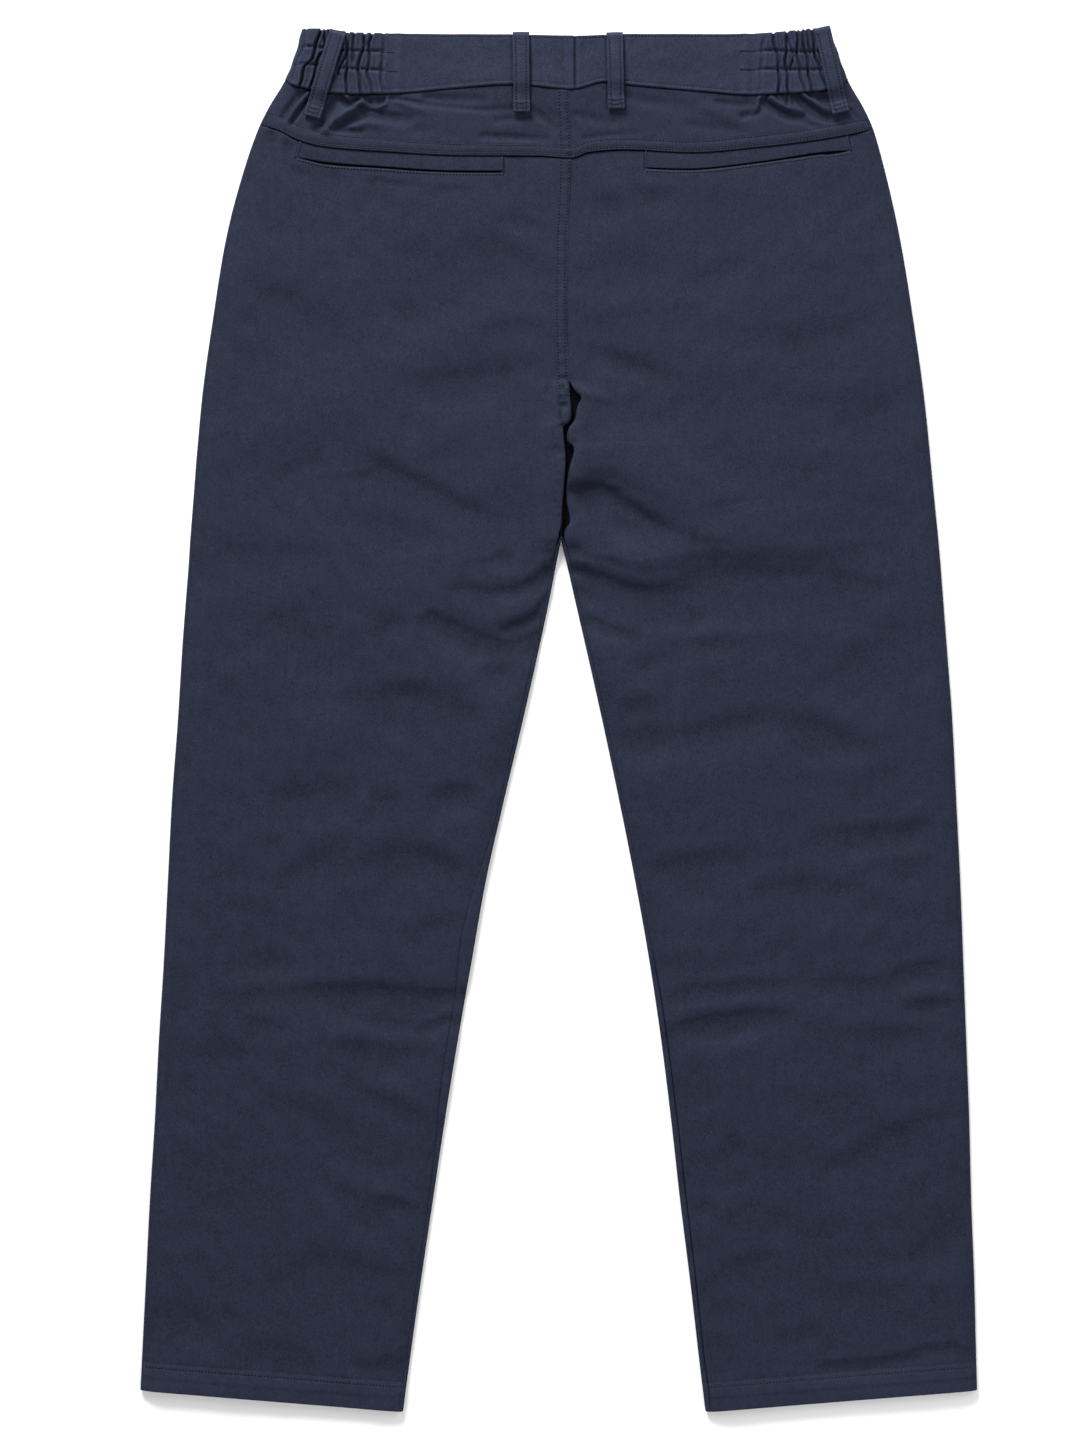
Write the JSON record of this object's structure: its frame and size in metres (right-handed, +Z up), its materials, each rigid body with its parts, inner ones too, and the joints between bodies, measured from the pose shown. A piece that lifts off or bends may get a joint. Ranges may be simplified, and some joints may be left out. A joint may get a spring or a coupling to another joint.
{
  "type": "trousers",
  "caption": "Long straight work trousers laid flat, back up, with an elasticated waistband, yoke, belt loops and two welted back pockets.",
  "frame": {"origin": "on the surface the trousers lie on, under the centre of their bounding box", "axes": "+Y towards the waist, +Z up out of the back, +X to the wearer's right"},
  "size_m": [0.6355, 1.0497, 0.0105],
  "materials": {
    "navy_twill": "matt twill weave",
    "waistband_twill": "matt twill weave",
    "button_plastic": "satin"
  },
  "bodies": {
    "root": {"back_panel_left": "navy_twill", "back_panel_right": "navy_twill", "front_panel_left": "navy_twill", "front_panel_right": "navy_twill", "yoke_left": "navy_twill", "yoke_right": "navy_twill", "pocket_welt_left": "navy_twill", "pocket_welt_right": "navy_twill", "waistband_left": "waistband_twill", "waistband_right": "waistband_twill", "belt_loop_side_left": "waistband_twill", "belt_loop_back_left": "waistband_twill", "belt_loop_back_right": "waistband_twill", "belt_loop_side_right": "waistband_twill", "belt_loop_front_left": "waistband_twill", "belt_loop_front_right": "waistband_twill", "waist_button": "button_plastic"}
  },
  "joints": []
}
